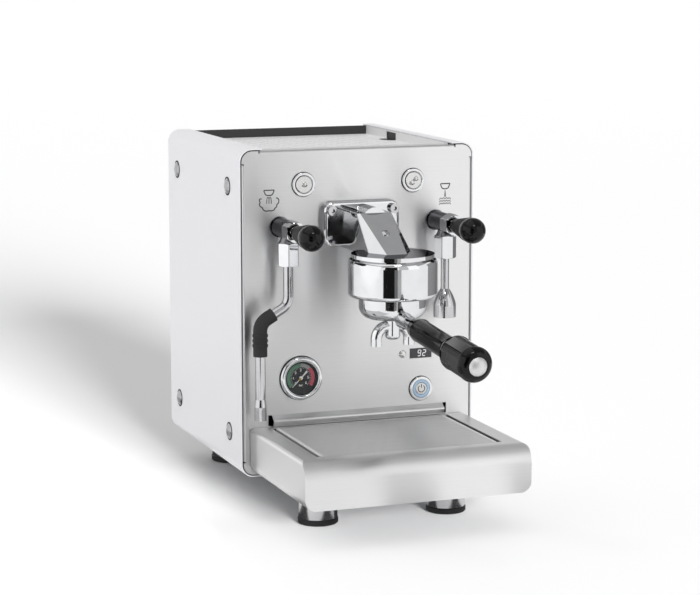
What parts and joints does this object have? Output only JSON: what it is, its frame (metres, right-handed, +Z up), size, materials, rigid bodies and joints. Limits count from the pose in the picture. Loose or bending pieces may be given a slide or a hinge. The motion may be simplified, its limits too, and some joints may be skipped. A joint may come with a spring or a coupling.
{
  "type": "espresso machine",
  "caption": "Free-standing espresso machine: white side panels, brushed front, lever taps, swivelling steam wand, locking portafilter, pressure gauge and pull-out drip tray.",
  "frame": {"origin": "on the floor under the middle of the machine's bounding box, with the portafilter locked in", "axes": "+X to the right seen from the front, +Y to the back, +Z up"},
  "size_m": [0.2564, 0.562, 0.3635],
  "materials": {
    "white_paint": "satin white powder paint on steel sheet",
    "brushed_steel": "stainless sheet with a horizontal grain",
    "polished_steel": "polished stainless",
    "chrome": "polished chrome plate",
    "black_gloss": "glossy black moulding",
    "black_rubber": "matt black rubber",
    "dark_sheet": "dark grey paint",
    "zinc_sheet": "zinc-plated sheet",
    "dial_black": "matt black dial",
    "needle_white": "white enamel",
    "clear_glass": "flat clear glass",
    "display_dark": "dark window",
    "lamp_lens": "clear lamp lens",
    "light_blue": "lit ring",
    "copper": "copper",
    "brass": "machined brass",
    "tank_plastic": "frosted clear plastic",
    "grey_plastic": "moulded grey plastic",
    "black_plastic": "moulded black plastic",
    "silicone": "silicone hose"
  },
  "bodies": {
    "machine": {"side_panel_left": "white_paint", "side_panel_right": "white_paint", "casing_screws": "polished_steel", "front_panel": "brushed_steel", "rear_panel": "brushed_steel", "rear_rail": "dark_sheet", "power_inlet": "black_plastic", "base_frame": "zinc_sheet", "top_frame": "dark_sheet", "foot_bodies": "polished_steel", "foot_pads": "black_rubber", "brew_bezels": "chrome", "power_bezel": "chrome", "power_light_ring": "light_blue", "panel_nuts": "brass", "status_lamp": "lamp_lens", "display_window": "display_dark", "gauge_case": "chrome", "gauge_dial": "dial_black", "gauge_glass": "clear_glass", "tap_bodies": "chrome", "gland_nuts": "chrome", "union_nuts": "chrome", "water_spout": "polished_steel", "group_casting": "chrome", "group_screws": "polished_steel", "group_bell": "chrome", "group_gasket": "black_rubber", "shower_screen": "polished_steel", "boiler_shell": "copper", "boiler_cap": "brass", "boiler_stand": "zinc_sheet", "boiler_pipes": "copper", "solenoid_valve": "brass", "pump_body": "grey_plastic", "pump_cradle": "black_rubber", "control_box": "grey_plastic", "tank_shelf": "black_plastic", "suction_hose": "silicone"},
    "portafilter": {"portafilter_body": "chrome", "filter_basket": "polished_steel", "twin_spout": "chrome", "handle_grip": "black_gloss", "handle_fittings": "chrome"},
    "steam_lever": {"steam_lever": "chrome", "steam_knob": "black_gloss"},
    "water_lever": {"water_lever": "chrome", "water_knob": "black_gloss"},
    "steam_wand": {"steam_wand": "polished_steel", "steam_wand_grip": "black_rubber", "steam_wand_tip": "polished_steel"},
    "brew_button_left": {"brew_button_left": "polished_steel"},
    "brew_button_right": {"brew_button_right": "polished_steel"},
    "power_button": {"power_button": "polished_steel"},
    "gauge_needle": {"gauge_needle": "needle_white"},
    "drip_tray": {"tray_housing": "brushed_steel", "drip_basin": "zinc_sheet"},
    "drip_grid": {"drip_grid": "brushed_steel"},
    "water_tank": {"water_tank": "tank_plastic"},
    "cup_tray": {"cup_tray": "brushed_steel"}
  },
  "joints": [
    {"name": "portafilter_turn", "type": "hinge", "parent": "machine", "child": "portafilter", "pos_m": [0, -0.06971, 0.235], "axis": [0, 0, 1], "range_deg": [-50, 0]},
    {"name": "steam_lever_tilt", "type": "hinge", "parent": "machine", "child": "steam_lever", "pos_m": [-0.0835, -0.01551, 0.2854], "axis": [1, 0, 0], "range_deg": [-15, 15]},
    {"name": "water_lever_tilt", "type": "hinge", "parent": "machine", "child": "water_lever", "pos_m": [0.0835, -0.01551, 0.2854], "axis": [1, 0, 0], "range_deg": [-15, 15]},
    {"name": "steam_wand_swivel", "type": "hinge", "parent": "machine", "child": "steam_wand", "pos_m": [-0.0835, -0.00141, 0.252], "axis": [0, 0, 1], "range_deg": [-30, 100]},
    {"name": "brew_button_left_press", "type": "slide", "parent": "machine", "child": "brew_button_left", "axis": [0, 1, 0], "range_m": [0, 0.0025], "stiffness_N_per_m": 400, "springref_m": -0.001},
    {"name": "brew_button_right_press", "type": "slide", "parent": "machine", "child": "brew_button_right", "axis": [0, 1, 0], "range_m": [0, 0.0025], "stiffness_N_per_m": 400, "springref_m": -0.001},
    {"name": "power_button_press", "type": "slide", "parent": "machine", "child": "power_button", "axis": [0, 1, 0], "range_m": [0, 0.0025], "stiffness_N_per_m": 400, "springref_m": -0.001},
    {"name": "gauge_needle_sweep", "type": "hinge", "parent": "machine", "child": "gauge_needle", "pos_m": [-0.062, 0.02349, 0.1315], "axis": [0, 1, 0], "range_deg": [0, 270]},
    {"name": "drip_tray_slide", "type": "slide", "parent": "machine", "child": "drip_tray", "axis": [0, -1, 0], "range_m": [0, 0.14]},
    {"name": "drip_grid_lift", "type": "slide", "parent": "drip_tray", "child": "drip_grid", "axis": [0, 0, 1], "range_m": [0, 0.012]},
    {"name": "water_tank_lift", "type": "slide", "parent": "machine", "child": "water_tank", "axis": [0, 0, 1], "range_m": [0, 0.2]},
    {"name": "cup_tray_lift", "type": "slide", "parent": "water_tank", "child": "cup_tray", "axis": [0, 0, 1], "range_m": [0, 0.04]}
  ]
}
